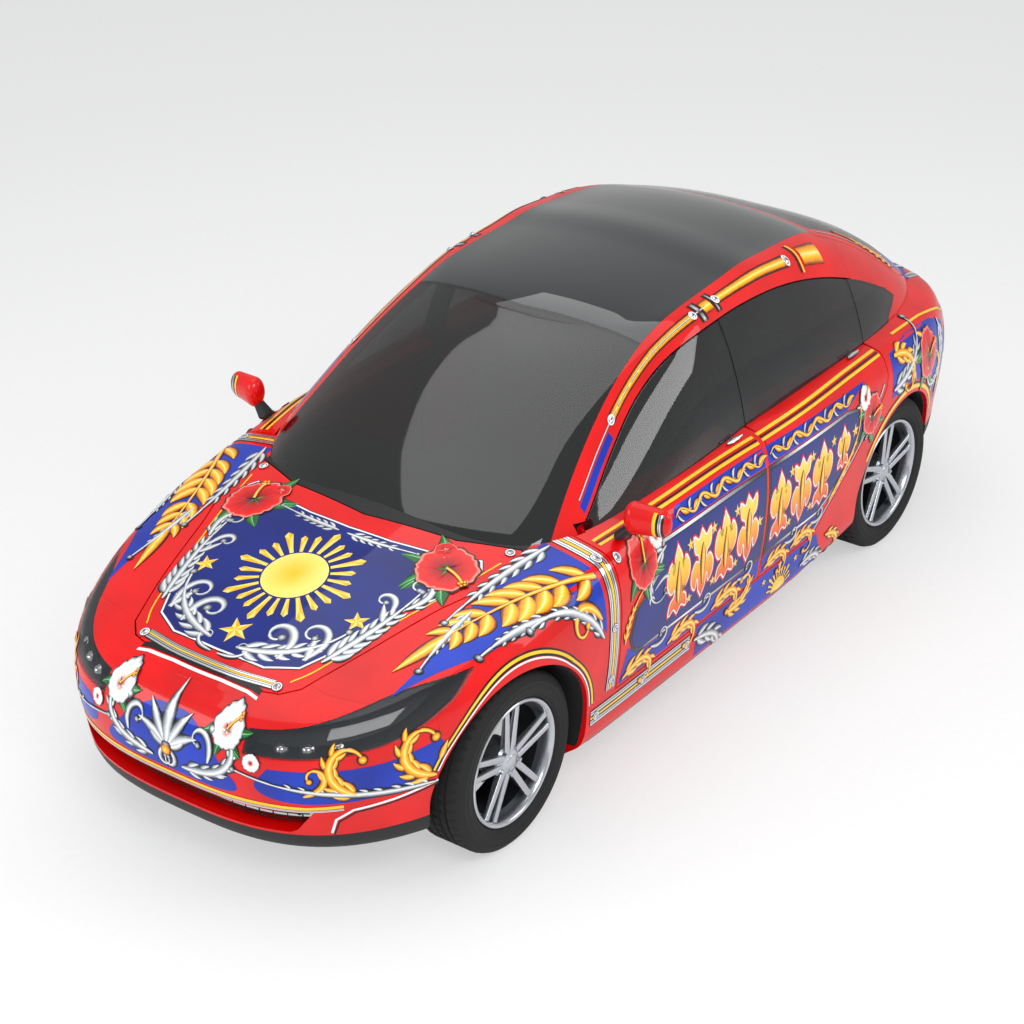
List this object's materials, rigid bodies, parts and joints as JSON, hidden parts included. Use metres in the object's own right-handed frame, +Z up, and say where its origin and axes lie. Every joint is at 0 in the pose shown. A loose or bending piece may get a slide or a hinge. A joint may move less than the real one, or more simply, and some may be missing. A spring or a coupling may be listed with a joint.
{
  "type": "four-door fastback passenger car",
  "caption": "Full-size four-door fastback car with opening doors, bonnet and tailgate, steered front wheels, and a skin decorated in jeepney folk-art scrolls, suns and flowers.",
  "frame": {"origin": "on the ground, below the middle of the overall length and width", "axes": "+Z up, -Y towards the nose, +X towards the car's left side"},
  "size_m": [2.1654, 4.75, 1.6095],
  "materials": {
    "decorated_paint": "gloss clear coat over a printed red, blue, gold and silver ornament film",
    "tinted_glass": "dark tinted, polished",
    "headlight_lens": "clear polycarbonate",
    "tail_light_lens": "red lens, polished",
    "trim_plastic": "grained black plastic",
    "cabin_plastic": "soft-touch grained plastic",
    "seat_fabric": "stitched black synthetic leather",
    "chassis_coating": "satin black dip coat",
    "rim_alloy": "machined and lacquered",
    "tyre_rubber": "matt rubber"
  },
  "bodies": {
    "body_shell": {"floor_pan": "chassis_coating", "battery_pack": "chassis_coating", "front_subframe": "chassis_coating", "rear_axle": "chassis_coating", "wheel_houses": "trim_plastic", "side_frames": "chassis_coating", "side_panels": "decorated_paint", "front_fenders": "decorated_paint", "front_bumper": "decorated_paint", "rear_bumper": "decorated_paint", "valances": "trim_plastic", "roof_rails": "decorated_paint", "cowl": "trim_plastic", "windscreen": "tinted_glass", "roof_glass": "tinted_glass", "quarter_windows": "tinted_glass", "headlights": "headlight_lens", "tail_lights": "tail_light_lens", "dashboard": "cabin_plastic", "front_seats": "seat_fabric", "rear_bench": "seat_fabric"},
    "front_left_door": {"front_left_door": "decorated_paint", "front_left_window": "tinted_glass", "left_mirror": "decorated_paint"},
    "front_right_door": {"front_right_door": "decorated_paint", "front_right_window": "tinted_glass", "right_mirror": "decorated_paint"},
    "rear_left_door": {"rear_left_door": "decorated_paint", "rear_left_window": "tinted_glass"},
    "rear_right_door": {"rear_right_door": "decorated_paint", "rear_right_window": "tinted_glass"},
    "bonnet": {"bonnet": "decorated_paint"},
    "tailgate": {"tailgate": "decorated_paint", "tailgate_glass": "tinted_glass"},
    "steering_wheel": {"steering_wheel": "cabin_plastic"},
    "left_knuckle": {"left_knuckle": "chassis_coating"},
    "right_knuckle": {"right_knuckle": "chassis_coating"},
    "front_left_wheel": {"front_left_rim": "rim_alloy", "front_left_tyre": "tyre_rubber"},
    "front_right_wheel": {"front_right_rim": "rim_alloy", "front_right_tyre": "tyre_rubber"},
    "rear_left_wheel": {"rear_left_rim": "rim_alloy", "rear_left_tyre": "tyre_rubber"},
    "rear_right_wheel": {"rear_right_rim": "rim_alloy", "rear_right_tyre": "tyre_rubber"}
  },
  "joints": [
    {"name": "front_left_door_hinge", "type": "hinge", "parent": "body_shell", "child": "front_left_door", "pos_m": [0.96, -0.909, 0.6], "axis": [0, 0, -1], "range_deg": [0, 65]},
    {"name": "rear_left_door_hinge", "type": "hinge", "parent": "body_shell", "child": "rear_left_door", "pos_m": [0.96, 0.148, 0.6], "axis": [0, 0, -1], "range_deg": [0, 65]},
    {"name": "front_right_door_hinge", "type": "hinge", "parent": "body_shell", "child": "front_right_door", "pos_m": [-0.96, -0.909, 0.6], "axis": [0, 0, 1], "range_deg": [0, 65]},
    {"name": "rear_right_door_hinge", "type": "hinge", "parent": "body_shell", "child": "rear_right_door", "pos_m": [-0.96, 0.148, 0.6], "axis": [0, 0, 1], "range_deg": [0, 65]},
    {"name": "bonnet_hinge", "type": "hinge", "parent": "body_shell", "child": "bonnet", "pos_m": [0, -1.095, 1.016], "axis": [-1, 0, 0], "range_deg": [0, 50]},
    {"name": "tailgate_hinge", "type": "hinge", "parent": "body_shell", "child": "tailgate", "pos_m": [0, 1.208, 1.546], "axis": [1, 0, 0], "range_deg": [0, 72]},
    {"name": "left_steer", "type": "hinge", "parent": "body_shell", "child": "left_knuckle", "pos_m": [0.735, -1.495, 0.356], "axis": [0, 0, 1], "range_deg": [-32, 32]},
    {"name": "right_steer", "type": "hinge", "parent": "body_shell", "child": "right_knuckle", "pos_m": [-0.735, -1.495, 0.356], "axis": [0, 0, 1], "range_deg": [-32, 32]},
    {"name": "steering_wheel_turn", "type": "hinge", "parent": "body_shell", "child": "steering_wheel", "pos_m": [0.37, -0.462, 0.905], "axis": [0, 0.9135, 0.4067], "range_deg": [-455, 455]},
    {"name": "front_left_wheel_spin", "type": "hinge", "parent": "left_knuckle", "child": "front_left_wheel", "pos_m": [0.785, -1.495, 0.356], "axis": [1, 0, 0], "continuous": true},
    {"name": "rear_left_wheel_spin", "type": "hinge", "parent": "body_shell", "child": "rear_left_wheel", "pos_m": [0.785, 1.395, 0.356], "axis": [1, 0, 0], "continuous": true},
    {"name": "front_right_wheel_spin", "type": "hinge", "parent": "right_knuckle", "child": "front_right_wheel", "pos_m": [-0.785, -1.495, 0.356], "axis": [1, 0, 0], "continuous": true},
    {"name": "rear_right_wheel_spin", "type": "hinge", "parent": "body_shell", "child": "rear_right_wheel", "pos_m": [-0.785, 1.395, 0.356], "axis": [1, 0, 0], "continuous": true}
  ],
  "couplings": [
    {"joint": "right_steer", "follows": "left_steer", "ratio": 1},
    {"joint": "steering_wheel_turn", "follows": "left_steer", "ratio": 14}
  ]
}
